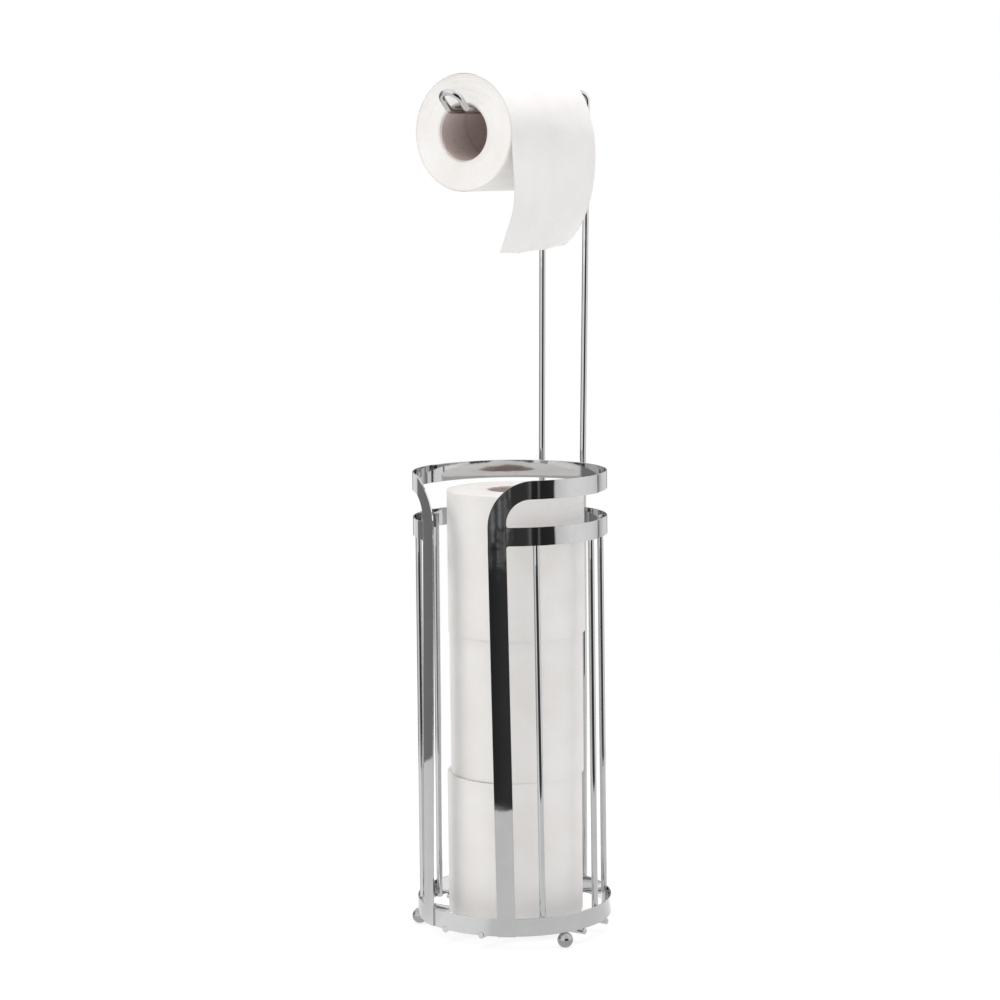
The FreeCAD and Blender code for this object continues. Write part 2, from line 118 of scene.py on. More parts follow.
class Nodes:
    """A short way to write a node tree."""

    def __init__(self, owner):
        owner.use_nodes = True
        self.tree = owner.node_tree
        self.tree.nodes.clear()

    def add(self, kind, **values):
        """A node.  A value is a socket to link from, or a constant for the input of that name;
        names that start with an underscore set the node's own properties."""
        node = self.tree.nodes.new(kind)
        for name, value in values.items():
            if name.startswith("_"):
                setattr(node, name[1:], value)
        for name, value in values.items():
            if name.startswith("_"):
                continue
            socket = node.inputs[int(name[1:])] if name[0] == "i" and name[1:].isdigit() else None
            socket = socket or node.inputs[name.replace("__", " ")]
            if isinstance(value, bpy.types.NodeSocket):
                self.tree.links.new(value, socket)
            else:
                socket.default_value = value
        return node

    def math(self, operation, first, second=0.0, third=0.0):
        node = self.add("ShaderNodeMath", _operation=operation, i0=first, i1=second, i2=third)
        return node.outputs[0]

    def ramp(self, factor, stops, interpolation="LINEAR"):
        node = self.add("ShaderNodeValToRGB", i0=factor)
        node.color_ramp.interpolation = interpolation
        elements = node.color_ramp.elements
        while len(elements) < len(stops):
            elements.new(1.0)
        for element, (position, shade) in zip(elements, stops):
            element.position = position
            colour = shade if isinstance(shade, tuple) else (shade,) * 3
            element.color = (*colour, 1.0)
        return node.outputs["Color"]

    def noise(self, where, scale, detail=3.0, roughness=0.5):
        node = self.add(
            "ShaderNodeTexNoise", Vector=where, Scale=scale, Detail=detail, Roughness=roughness
        )
        return node.outputs["Fac"]

    def bump(self, height, strength, distance, normal=None):
        extra = {} if normal is None else {"Normal": normal}
        node = self.add(
            "ShaderNodeBump", Height=height, Strength=strength, Distance=distance, **extra
        )
        return node.outputs["Normal"]

    def mix(self, factor, first, second):
        node = self.add("ShaderNodeMix", _data_type="RGBA")
        for index, value in ((0, factor), (6, first), (7, second)):
            if isinstance(value, bpy.types.NodeSocket):
                self.tree.links.new(value, node.inputs[index])
            else:
                node.inputs[index].default_value = value
        return node.outputs[2]

    def principled(self, **values):
        shader = self.add("ShaderNodeBsdfPrincipled", **values)
        self.add("ShaderNodeOutputMaterial", Surface=shader.outputs["BSDF"])
        return shader


# The plate's shade where its film is thin and where it is thick, and its faint blue tint.
PLATE = [(0.3, 0.535), (0.75, 0.58)]
PLATE_TINT = (1.0, 1.0, 1.004)
# How far along the loose sheet its line of perforations is, and the pitch of a core's spiral.
PERFORATION = 225 * MM
SPIRAL_PITCH = 62 * MM


def chrome(name, waviness, brightness=1.0):
    """Bright chrome plate: faint waves in the metal under it, fine polishing marks and dust.
    A brightness below 1 darkens its colour: painted shade, for parts that should look darker than
    their plate because of what they mirror."""
    wave_scale, mark_scale, film_scale = 38.0, 900.0, 55.0
    material = bpy.data.materials.new(name)
    n = Nodes(material)
    where = n.add("ShaderNodeTexCoord").outputs["Object"]
    waves = n.noise(where, wave_scale, 2.0)
    marks = n.noise(where, mark_scale, 4.0, 0.6)
    film = n.noise(where, film_scale, 5.0, 0.65)
    normal = n.bump(waves, waviness, 2 * MM)
    normal = n.bump(marks, 0.04, 0.1 * MM, normal)
    stops = [(at, tuple(shade * brightness * tint for tint in PLATE_TINT)) for at, shade in PLATE]
    n.principled(
        Base__Color=n.ramp(film, stops),
        Metallic=1.0,
        Roughness=n.math("MULTIPLY_ADD", film, 0.07, 0.005),
        Normal=normal,
    )
    return material


def wound_edges(n, where, colour, normal):
    """Rings round a roll's axis: the edges of single layers, and coarser bands of them."""
    layer_rate, band_rate, shadow = 5200.0, 1450.0, (0.70, 0.68, 0.65, 1.0)
    split = n.add("ShaderNodeSeparateXYZ", Vector=where)
    across = n.math("POWER", split.outputs["X"], 2.0)
    along = n.math("POWER", split.outputs["Y"], 2.0)
    radius = n.math("SQRT", n.math("ADD", across, along))
    uneven = n.math("ADD", radius, n.math("MULTIPLY", n.noise(where, 60.0, 2.0), 1.6 * MM))
    single = n.math("SINE", n.math("MULTIPLY", uneven, layer_rate))
    bands = n.math("SINE", n.math("MULTIPLY", uneven, band_rate))
    layers = n.math("ADD", single, bands)
    shade = n.math("MULTIPLY_ADD", layers, 0.25, 0.5)
    colour = n.mix(n.ramp(shade, [(0.0, 0.28), (0.7, 0.0)]), colour, shadow)
    return colour, n.bump(layers, 0.45, 0.2 * MM, normal)


def embossed(n, where, colour, normal):
    """Faint pressed dots, about 5 mm apart."""
    dots_per_metre, shadow = 210.0, (0.74, 0.725, 0.70, 1.0)
    cells = n.add("ShaderNodeTexVoronoi", Vector=where, Scale=dots_per_metre, Randomness=0.35)
    dots = n.ramp(cells.outputs["Distance"], [(0.12, 0.0), (0.42, 1.0)])
    colour = n.mix(n.ramp(dots, [(0.0, 0.05), (0.6, 0.0)]), colour, shadow)
    return colour, n.bump(dots, 0.18, 0.5 * MM, normal)


def perforated(n, flat_place, colour, normal):
    """A dashed line of slits across the sheet.  flat_place is the place on the flat sheet."""
    slit_half_width, dash_rate, shadow = 0.45 * MM, 2400.0, (0.5, 0.49, 0.47, 1.0)
    flat = n.add("ShaderNodeSeparateXYZ", Vector=flat_place)
    to_line = n.math("ABSOLUTE", n.math("SUBTRACT", flat.outputs["Y"], PERFORATION))
    on_line = n.math("LESS_THAN", to_line, slit_half_width)
    dashes = n.math("SINE", n.math("MULTIPLY", flat.outputs["X"], dash_rate))
    holes = n.math("MULTIPLY", on_line, n.math("GREATER_THAN", dashes, -0.2))
    colour = n.mix(n.math("MULTIPLY", holes, 0.12), colour, shadow)
    return colour, n.bump(holes, 0.3, -0.2 * MM, normal)


def tissue(name, pattern):
    """Soft two-ply tissue.  pattern is "side" for the embossed face of the wound paper, "end"
    for the edges of its layers and "sheet" for the loose end, which has a line of perforations."""
    fibre_scale, cloud_scale, crumple_scale = 2200.0, 24.0, 95.0
    warm, cool = (0.83, 0.815, 0.79), (0.895, 0.885, 0.875)
    material = bpy.data.materials.new(name)
    n = Nodes(material)
    coords = n.add("ShaderNodeTexCoord")
    where = coords.outputs["Object"]
    fibre = n.noise(where, fibre_scale, 4.0, 0.7)
    cloud = n.noise(where, cloud_scale, 3.0)
    crumple = n.noise(where, crumple_scale, 4.0, 0.6)
    normal = n.bump(fibre, 0.35, 0.2 * MM)
    normal = n.bump(crumple, 0.35, 1.6 * MM, normal)
    colour = n.ramp(cloud, [(0.3, warm), (0.7, cool)])
    if pattern == "end":
        colour, normal = wound_edges(n, where, colour, normal)
    else:
        colour, normal = embossed(n, where, colour, normal)
    if pattern == "sheet":
        colour, normal = perforated(n, coords.outputs["UV"], colour, normal)
    n.principled(
        Base__Color=colour,
        Roughness=0.92,
        Specular__IOR__Level=0.18,
        Sheen__Weight=0.25,
        Sheen__Roughness=0.5,
        Subsurface__Weight=0.12,
        Subsurface__Scale=2 * MM,
        Subsurface__Radius=(1.0, 0.95, 0.9),
        Normal=normal,
    )
    return material


def cardboard():
    """Grey-brown core board: a spiral seam, fibres and flecks."""
    dull, pale = (0.62, 0.53, 0.51), (0.77, 0.68, 0.65)
    fleck_brown, groove_brown = (0.25, 0.21, 0.18, 1.0), (0.30, 0.26, 0.24, 1.0)
    material = bpy.data.materials.new("core_board")
    n = Nodes(material)
    where = n.add("ShaderNodeTexCoord").outputs["Object"]
    split = n.add("ShaderNodeSeparateXYZ", Vector=where)
    turn = n.math("ARCTAN2", split.outputs["Y"], split.outputs["X"])
    climb = n.math("MULTIPLY", split.outputs["Z"], 2 * math.pi / SPIRAL_PITCH)
    seam = n.math("COSINE", n.math("ADD", turn, climb))
    groove = n.ramp(seam, [(0.955, 0.0), (0.995, 1.0)])
    fibre = n.noise(where, 700.0, 5.0, 0.7)
    fleck = n.ramp(n.noise(where, 260.0, 3.0), [(0.62, 0.0), (0.72, 1.0)])
    normal = n.bump(fibre, 0.4, 0.2 * MM)
    normal = n.bump(groove, 0.4, -0.3 * MM, normal)
    colour = n.ramp(fibre, [(0.3, dull), (0.75, pale)])
    colour = n.mix(n.math("MULTIPLY", fleck, 0.35), colour, fleck_brown)
    colour = n.mix(n.math("MULTIPLY", groove, 0.22), colour, groove_brown)
    n.principled(Base__Color=colour, Roughness=0.85, Specular__IOR__Level=0.2, Normal=normal)
    return material


chrome_strip = chrome("chrome_strip", 0.07)
chrome_wire = chrome("chrome_wire", 0.05)
# The balls get a darker copy of the same plate: painted shade that stands in for the darker
# reflections round the feet.
chrome_ball = chrome("chrome_ball", 0.03, 0.62)
tissue_side = tissue("tissue_side", "side")
tissue_end = tissue("tissue_end", "end")
tissue_sheet = tissue("tissue_sheet", "sheet")
core_board = cardboard()

# ---------------------------------------------------------------- mesh helpers


def add_piece(name, body, points, faces, materials, place=None, replaces=()):
    """A smooth-shaded mesh piece that rides on a body and stands for CAD nodes."""
    mesh = bpy.data.meshes.new(name)
    mesh.from_pydata([tuple(p) for p in points], [], faces)
    mesh.update()
    mesh.polygons.foreach_set("use_smooth", [True] * len(mesh.polygons))
    for material in materials:
        mesh.materials.append(material)
    piece = bpy.data.objects.new(name, mesh)
    bpy.context.scene.collection.objects.link(piece)
    if place is not None:
        piece.matrix_world = place
    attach(piece, body)
    if replaces:
        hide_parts(*replaces)
    return piece


def grid_faces(rows, columns, start=0, close=False):
    """Quads between rows of points; close joins the last row to the first."""
    faces = []
    for i in range(rows if close else rows - 1):
        a = start + i * columns
        b = start + (i + 1) % rows * columns
        for j in range(columns - 1):
            faces.append((a + j, b + j, b + j + 1, a + j + 1))
    return faces


def steps(first, last, count):
    """Evenly spaced numbers, both ends included."""
    return [first + (last - first) * i / (count - 1) for i in range(count)]


# ---------------------------------------------------------------- strip


def strip_piece(name, ribbons, outer, close=False, replaces=()):
    """Bent strip from ribbons of columns: each column holds an angle and a height for each of
    its points from low to high, and outer gives the radius at a height.  The sheet gets its
    thickness inwards, and softly rounded edges."""
    points, faces = [], []
    for ribbon in ribbons:
        start = len(points)
        for column in ribbon:
            points += [on_basket(outer(height), angle, height) for angle, height in column]
        faces += grid_faces(len(ribbon), len(ribbon[0]), start, close)
    piece = add_piece(name, "stand", points, faces, [chrome_strip], None, replaces)
    work = bmesh.new()
    work.from_mesh(piece.data)
    bmesh.ops.remove_doubles(work, verts=work.verts, dist=1e-6)
    bmesh.ops.recalc_face_normals(work, faces=work.faces)
    outward = sum(f.normal.dot(Vector((*f.calc_center_median().xy, 0))) for f in work.faces)
    if outward < 0:
        bmesh.ops.reverse_faces(work, faces=work.faces)
    work.to_mesh(piece.data)
    work.free()
    thick = piece.modifiers.new("thickness", "SOLIDIFY")
    thick.thickness = THICKNESS
    thick.offset = -1.0
    edge = piece.modifiers.new("edges", "BEVEL")
    edge.width = 0.28 * MM
    edge.segments = 3
    edge.limit_method = "ANGLE"
    edge.angle_limit = math.radians(50)
    edge.harden_normals = True


def base_hoop():
    """The full hoop, with a half-round notch in its lower edge for each end of a long wire."""
    notch = WIRE + 0.05 * MM
    angles = set(steps(0, 357.5, 144))
    for offset in (BASE_WIRE_OFFSET, -BASE_WIRE_OFFSET):
        for share in steps(-1, 1, 25):
            angle = math.degrees(math.asin((offset + notch * share) / BASE_RADIUS))
            angles |= {angle % 360, (180 - angle) % 360}
    ribbon = []
    for angle in sorted(angles):
        across = abs(BASE_RADIUS * math.sin(math.radians(angle)))
        depth = math.sqrt(max(0.0, notch**2 - (across - BASE_WIRE_OFFSET) ** 2))
        ribbon.append([(angle, BASE_EDGE + depth), (angle, BASE_TOP)])
    strip_piece("base_hoop", [ribbon], lambda height: BASE_RADIUS, True, ("base_ring",))


def back_bands():
    for name, low, high in (("middle", MIDDLE_EDGE, MIDDLE_TOP), ("top", TOP_EDGE, TOP_TOP)):
        ribbon = [[(angle, low), (angle, high)] for angle in steps(BAND_END, 360 - BAND_END, 121)]
        node = f"{name}_back_band"
        strip_piece(f"{name}_band_behind", [ribbon], lambda height: HOOP_RADIUS, False, (node,))


def panel_radius(height):
    """The panels' outer radius: they widen towards the base hoop, and stand plumb beside it."""
    share = (MIDDLE_EDGE - height) / (MIDDLE_EDGE - BASE_TOP)
    return PANEL_RADIUS + (BASE_RADIUS - HOOP_RADIUS) * min(max(share, 0.0), 1.0)


def corner_inset(across, start, radius):
    """How far a rounded corner's edge lies from the line that it rounds off."""
    inside = min(max(radius - (across - start), 0.0), radius)
    return radius - math.sqrt(radius**2 - inside**2)


def front_panel(node, side):
    """The stamped F: strap, wide corner and two arms.  Widths are measured square to the
    direction that the outline is drawn from, as in the CAD model."""
    middle = PANEL_RADIUS * math.sin(math.radians(STRAP_ANGLE - OUTLINE_ANGLE))
    foot_radius = panel_radius(BASE_EDGE)
    foot = foot_radius * math.sin(math.radians(STRAP_ANGLE + STRAP_SPLAY - OUTLINE_ANGLE))
    front, back = middle - STRIP_WIDTH / 2, middle + STRIP_WIDTH / 2
    end = PANEL_RADIUS * math.sin(math.radians(PANEL_END - OUTLINE_ANGLE))
    splay_end = MIDDLE_EDGE - CORNER_SMALL - 1 * MM
    splay = (foot - middle) / (splay_end - BASE_EDGE + CUT_MARGIN)

    def spot(across, height):
        """The angle and height of a point of the outline."""
        across += splay * max(0.0, splay_end - height)
        angle = OUTLINE_ANGLE + math.degrees(math.asin(across / panel_radius(height)))
        return side * angle, height

    def outer_top(across):
        return TOP_TOP - corner_inset(across, front, CORNER_OUTSIDE)

    lower_levels = [BASE_EDGE, *steps(BASE_TOP, splay_end, 12), MIDDLE_EDGE - CORNER_SMALL]
    upper_levels = [MIDDLE_TOP + CORNER_SMALL, TOP_EDGE - CORNER_INSIDE]
    full = outer_top(back)
    strap = []
    for share in steps(0, 1, 25):
        across = front + (back - front) * share**1.6
        top = outer_top(across)
        squeeze = (top - MIDDLE_EDGE) / (full - MIDDLE_EDGE)
        above = [MIDDLE_EDGE + (level - MIDDLE_EDGE) * squeeze for level in upper_levels]
        strap.append([spot(across, height) for height in [*lower_levels, *above, top]])
    near = [back + CORNER_SMALL * (1 - math.cos(turn)) for turn in steps(0, math.pi / 2, 9)]
    bend = [back + CORNER_INSIDE * (1 - math.cos(turn)) for turn in steps(0, math.pi / 2, 25)]
    start, stop = (math.asin(across / PANEL_RADIUS) for across in (bend[-1], end))
    wide = [PANEL_RADIUS * math.sin(turn) for turn in steps(start, stop, 49)]
    lower_arm, upper_arm = [], []
    for across in sorted(set(near + bend + wide)):
        small = corner_inset(across, back, CORNER_SMALL)
        large = corner_inset(across, back, CORNER_INSIDE)
        low = MIDDLE_EDGE - small
        high = MIDDLE_TOP + small
        lower_arm.append([spot(across, low), spot(across, high)])
        upper_arm.append([spot(across, TOP_EDGE - large), spot(across, outer_top(across))])
    strip_piece(f"{node}_strap", [strap, lower_arm, upper_arm], panel_radius, False, (node,))


base_hoop()
back_bands()
front_panel("front_panel_right", 1)
front_panel("front_panel_left", -1)

# ---------------------------------------------------------------- wire


def bent(points, radii):
    """Points along straight runs with an arc at each inner corner."""
    path = [points[0]]
    for i, radius in enumerate(radii, start=1):
        corner = points[i]
        before = (points[i - 1] - corner).normalized()
        after = (points[i + 1] - corner).normalized()
        half_turn = (math.pi - before.angle(after)) / 2
        centre = corner + (before + after).normalized() * (radius / math.cos(half_turn))
        first = corner + before * radius * math.tan(half_turn) - centre
        last = corner + after * radius * math.tan(half_turn) - centre
        count = max(3, int(math.degrees(2 * half_turn) / 4))
        for share in steps(0, 1, count):
            turned = first.normalized().slerp(last.normalized(), share)
            path.append(centre + turned * radius)
    path.append(points[-1])
    return [p for p, q in zip(path, [None, *path]) if q is None or (p - q).length > 1e-6]


def wire_mesh(path, radius=WIRE, sides=36, rounding=0.45 * MM):
    """A round wire along a path, whose cut ends have rounded rims."""
    tangents = []
    for i, point in enumerate(path):
        before = (point - path[i - 1]).normalized() if i else Vector()
        after = (path[i + 1] - point).normalized() if i < len(path) - 1 else Vector()
        tangents.append((before + after).normalized())

    def rim(end, inwards):
        """The rings of a rounded end, from the full radius out to the cut face."""
        tangent = tangents[end]
        found = []
        for turn in steps(0, math.pi / 2, 5):
            inset = rounding * (1 - math.sin(turn))
            size = radius - rounding * (1 - math.cos(turn))
            found.append((path[end] + tangent * inset * inwards, tangent, size))
        return found

    along = [(p, t, radius) for p, t in zip(path[1:-1], tangents[1:-1])]
    rings = rim(0, 1)[::-1] + along + rim(-1, -1)
    side = tangents[0].orthogonal().normalized()
    points = []
    last = tangents[0]
    for centre, tangent, size in rings:
        side = last.rotation_difference(tangent) @ side
        other = tangent.cross(side)
        last = tangent
        for k in range(sides):
            turn = 2 * math.pi * k / sides
            points.append(centre + (side * math.cos(turn) + other * math.sin(turn)) * size)
    faces = []
    for i in range(len(rings) - 1):
        for k in range(sides):
            a, b = i * sides + k, i * sides + (k + 1) % sides
            faces.append((a, b, b + sides, a + sides))
    faces.append(tuple(range(sides))[::-1])
    faces.append(tuple(range((len(rings) - 1) * sides, len(rings) * sides)))
    return points, faces


def dome_faces(rings, sides):
    """Faces that fan from the first point to a ring of points, then run from ring to ring."""
    faces = [(0, 1 + (k + 1) % sides, 1 + k) for k in range(sides)]
    for i in range(rings - 1):
        for k in range(sides):
            a, b = 1 + i * sides + k, 1 + i * sides + (k + 1) % sides
            faces.append((a, b, b + sides, a + sides))
    return faces


def wire_piece(name, path, replaces):
    points, faces = wire_mesh(path)
    add_piece(name, "stand", points, faces, [chrome_wire], None, (replaces,))


def basket_rods():
    """The six rods.  The front pair's heads stand out by one strip's thickness, and its feet
    splay."""
    foot_radius = BASE_RADIUS - THICKNESS - WIRE
    head_radius = HOOP_RADIUS - THICKNESS - WIRE
    for place, angle in ROD_ANGLES.items():
        out, splay = (THICKNESS, ROD_FRONT_SPLAY) if place == "front" else (0.0, 0.0)
        for side, sign in (("right", 1), ("left", -1)):
            foot = on_basket(foot_radius, sign * (angle + splay), ROD_LOW)
            head = on_basket(head_radius + out, sign * angle, ROD_HIGH)
            path = [foot.lerp(head, share) for share in steps(0, 1, 9)]
            wire_piece(f"rod_{place}_{side}_wire", path, f"rod_{place}_{side}")
            weld(f"rod_{place}_{side}_foot_weld", foot.lerp(head, 0.02), WIRE)
            weld(f"rod_{place}_{side}_head_weld", foot.lerp(head, 0.983), WIRE)


def base_wires():
    reach = math.sqrt((BASE_RADIUS + BASE_WIRE_PROUD) ** 2 - BASE_WIRE_OFFSET**2)
    turn = Matrix.Rotation(math.radians(BASKET_TURN), 3, "Z")
    upper, lower = BASE_EDGE, (cross_high.z + cross_low.z) / 2

    def base_wire(node, start, end):
        path = [turn @ Vector(start).lerp(Vector(end), share) for share in steps(0, 1, 13)]
        wire_piece(f"{node}_wire", path, node)

    for side, x in (("right", BASE_WIRE_OFFSET), ("left", -BASE_WIRE_OFFSET)):
        base_wire(f"base_wire_long_{side}", (x, reach, upper), (x, -reach, upper))
    for side, y in (("front", -BASE_WIRE_OFFSET), ("back", BASE_WIRE_OFFSET)):
        base_wire(f"base_wire_cross_{side}", (-reach, y, lower), (reach, y, lower))


def hanger_side(sign):
    """The corners of one side's wire, from its foot to the end of the lip's leg.  The pair
    spreads upwards from its feet, which stand a little to the left."""
    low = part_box("hanger_loop")[0].z

    def across(height):
        share = (height - low) / (HUMP_TOP - low)
        middle = FOOT_OFFSET * (1 - share) + HUMP_OFFSET * share
        return middle + sign * (FOOT_SPACING * (1 - share) + HUMP_SPACING * share) / 2

    foot_x, bend_x, hump_x = across(low), across(LEAN_START), across(HUMP_TOP)
    foot = Vector((foot_x, math.sqrt((BASE_RADIUS + WIRE) ** 2 - foot_x**2), low))
    bend = Vector((bend_x, math.sqrt((HOOP_RADIUS + WIRE) ** 2 - bend_x**2), LEAN_START))
    hump = Vector((hump_x, bend.y + LEAN_BACK, HUMP_TOP))
    arm_back = Vector((sign * ARM_HALF, ARM_BACK, ARM_LEVEL))
    arm_front = Vector((sign * ARM_HALF, ARM_FRONT, ARM_LEVEL))
    for _ in range(40):
        slope = (arm_back - hump).normalized()
        half_turn = (math.pi - Vector((0, 0, -1)).angle(slope)) / 2
        hump.z = HUMP_TOP - HUMP_RADIUS + HUMP_RADIUS * math.tan(half_turn)
    along = Vector((0, -math.cos(LIP_SLOPE), math.sin(LIP_SLOPE)))
    return [foot, bend, hump, arm_back, arm_front, arm_front + along * (LIP_LEG + ARM_HALF)]


def hanger():
    """Both uprights, the humps, the two arm wires and the turned-up lip, in one wire."""
    right, left = hanger_side(1), hanger_side(-1)
    bends = [ARM_BEND * 20, HUMP_RADIUS, ARM_BEND, ARM_BEND, ARM_HALF]
    wire_piece("hanger_wire", bent(right + left[::-1], bends + bends[::-1]), "hanger_loop")
    for side, (foot, bend, *_) in (("right", right), ("left", left)):
        for band, level in (("base", BASE_EDGE), ("middle", MIDDLE_EDGE), ("top", TOP_EDGE)):
            share = (level + STRIP_WIDTH / 2 - foot.z) / (bend.z - foot.z)
            weld(f"upright_{side}_{band}_weld", foot.lerp(bend, share), -WIRE)


def weld(name, centre, outwards):
    """A small plated bead between a wire and a strip, over the middle of the strip's width.
    outwards is how far the strip lies from the wire's middle, away from the basket's axis."""
    away = Vector((centre.x, centre.y, 0)).normalized()
    middle = centre + away * outwards
    rings, sides = 15, 28
    length, width, depth = 4.2 * MM, 2.5 * MM, 0.75 * MM
    points = [Vector((0, 0, -length))]
    for latitude in steps(-math.pi / 2, math.pi / 2, rings + 2)[1:-1]:
        for k in range(sides):
            turn = 2 * math.pi * k / sides
            facing = Vector((math.cos(turn), math.sin(turn), latitude * 2))
            lump = 1 + 0.10 * noise.noise(facing + centre * 900)
            level = math.cos(latitude) ** 0.7 * lump
            spot = (depth * level * math.cos(turn), width * level * math.sin(turn))
            points.append(Vector((*spot, length * math.sin(latitude))))
    points.append(Vector((0, 0, length)))
    last = 1 + (rings - 1) * sides
    faces = dome_faces(rings, sides)
    faces += [(last + k, last + (k + 1) % sides, len(points) - 1) for k in range(sides)]
    place = Matrix.Translation(middle) @ Matrix.Rotation(math.atan2(away.y, away.x), 4, "Z")
    add_piece(name, "stand", points, faces, [chrome_wire], place)


def ball_feet():
    """Chromed balls, each drawn up to the small flat where it is welded under the hoop."""
    for side in ("right", "left", "back"):
        node = f"ball_foot_{side}"
        low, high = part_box(node)
        radius = (high.x - low.x) / 2
        centre = Vector(((low.x + high.x) / 2, (low.y + high.y) / 2, low.z + radius))
        flat = math.asin((high.z - centre.z) / radius)
        rings, sides = 32, 64
        points = [Vector((0, 0, -radius))]
        for latitude in steps(-math.pi / 2, flat, rings + 1)[1:]:
            level, z = radius * math.cos(latitude), radius * math.sin(latitude)
            for k in range(sides):
                turn = 2 * math.pi * k / sides
                points.append(Vector((level * math.cos(turn), level * math.sin(turn), z)))
        faces = dome_faces(rings, sides)
        faces.append(tuple(range(1 + (rings - 1) * sides, 1 + rings * sides)))
        place = Matrix.Translation(centre)
        add_piece(f"{node}_ball", "stand", points, faces, [chrome_ball], place, (node,))


basket_rods()
base_wires()
hanger()
ball_feet()

# ---------------------------------------------------------------- rolls


def revolved(profile, sides, shift):
    """Points and faces of a closed ring whose section is a closed profile of (radius, height).
    shift moves each point: it takes radius, height, angle and gives a new radius and height."""
    points = []
    for k in range(sides):
        turn = 2 * math.pi * k / sides
        for radius, height in profile:
            r, h = shift(radius, height, turn)
            points.append(Vector((r * math.cos(turn), r * math.sin(turn), h)))
    count = len(profile)
    faces = []
    for k in range(sides):
        a, b = k * count, (k + 1) % sides * count
        for j in range(count):
            faces.append((a + j, b + j, b + (j + 1) % count, a + (j + 1) % count))
    return points, faces


# The hanging roll narrows from SLACK_START, a share of its length, to its far end.  Its outer
# sheet touches it again only round DENT_ANGLE, up from the +X side.
SLACK_DEPTH, SLACK_START = 2.5 * MM, 0.45
DENT_ANGLE, DENT_REACH = math.radians(17), 0.36


def far_slack(share):
    """How loosely the hanging roll's outer sheet lies on it, at a share of its length from the
    front: the roll narrows towards its far end."""
    near = min(max((share - SLACK_START) / (1 - SLACK_START), 0.0), 1.0)
    return SLACK_DEPTH * near * near * (3 - 2 * near)


def dent(angle, share):
    """How far the outer sheet is pressed back onto the roll, at an angle up from its +X side."""
    away = (angle - DENT_ANGLE + math.pi) % (2 * math.pi) - math.pi
    return far_slack(share) * math.exp(-((away / DENT_REACH) ** 2))


def roll_place(node, lying):
    """A round node's outer radius, its length, and where its end and axis lie."""
    low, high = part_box(node)
    spans, middle = high - low, (low + high) / 2
    if lying:
        end = Vector((middle.x, low.y, middle.z))
        return spans.x / 2, spans.y, Matrix.Translation(end) @ Matrix.Rotation(-math.pi / 2, 4, "X")
    return spans.y / 2, spans.z, Matrix.Translation(Vector((middle.x, middle.y, low.z)))


# A roll's ends are flush over the outermost layers.  A standing roll's ends are drawn out over
# the gap that the CAD model leaves between two rolls.
FLUSH_WIDTH, END_GAP = 3 * MM, 0.09 * MM


def paper_roll(name, body, node, core_node, lying, seed):
    """Wound tissue: a side that is not quite round, with the edge of the last sheet down it,
    and ends where the layers have shifted a little."""
    outer, length, place = roll_place(node, lying)
    inner = roll_place(core_node, lying)[0]
    rim = 0.15 * MM
    slack = 0.08 * MM
    hole_edge = 0.4 * MM
    profile = [(inner, height) for height in steps(hole_edge, length - hole_edge, 5)]
    profile += [(radius, length) for radius in steps(inner + hole_edge, outer - rim, 30)]
    for turn in steps(0, math.pi / 2, 6)[1:-1]:
        profile.append((outer - rim + rim * math.sin(turn), length - rim + rim * math.cos(turn)))
    profile += [(outer, height) for height in steps(length - rim, rim, 34)]
    for turn in steps(0, math.pi / 2, 6)[1:-1]:
        profile.append((outer - rim + rim * math.cos(turn), rim - rim * math.sin(turn)))
    profile += [(radius, 0.0) for radius in steps(outer - rim, inner + hole_edge, 30)]

    def shift(radius, height, turn):
        depth = (radius - inner) / (outer - inner)
        round_about = Vector((math.cos(turn), math.sin(turn), height * 14)) * 1.3
        lumps = noise.noise(round_about + Vector((seed, 0, 0)))
        ripple = noise.noise(round_about * 3.1 + Vector((0, seed, 0)))
        last_edge = ((turn / (2 * math.pi) + 0.13 * seed) % 1.0) * 0.4
        inwards = slack * depth * (0.55 + 0.5 * lumps + 0.25 * ripple + last_edge)
        if lying:
            inwards += depth * far_slack(height / length)
        end = 1 if height > length / 2 else -1
        if length - rim > height > rim:
            return radius - inwards, height
        cosine, sine = math.cos(turn), math.sin(turn)
        wind = noise.noise(Vector((radius * 420, cosine * 0.7, sine * 0.7 + seed)))
        sag = noise.noise(Vector((radius * 90, cosine * 1.5 + seed, sine * 1.5)))
        pull = 0.45 * MM * (0.5 + 0.5 * wind) + 0.35 * MM * (0.5 + 0.5 * sag)
        flush = min(1.0, (outer - radius) / FLUSH_WIDTH)
        closed = 0.0 if lying else END_GAP
        return radius - inwards, height + end * (closed - pull * min(1.0, 4 * depth) * flush)

    points, faces = revolved(profile, 180, shift)
    piece = add_piece(name, body, points, faces, [tissue_side, tissue_end], place, (node,))
    for face in piece.data.polygons:
        centre = face.center
        on_end = min(centre.z, length - centre.z) < rim and centre.xy.length < outer - rim * 0.6
        face.material_index = 1 if on_end else 0


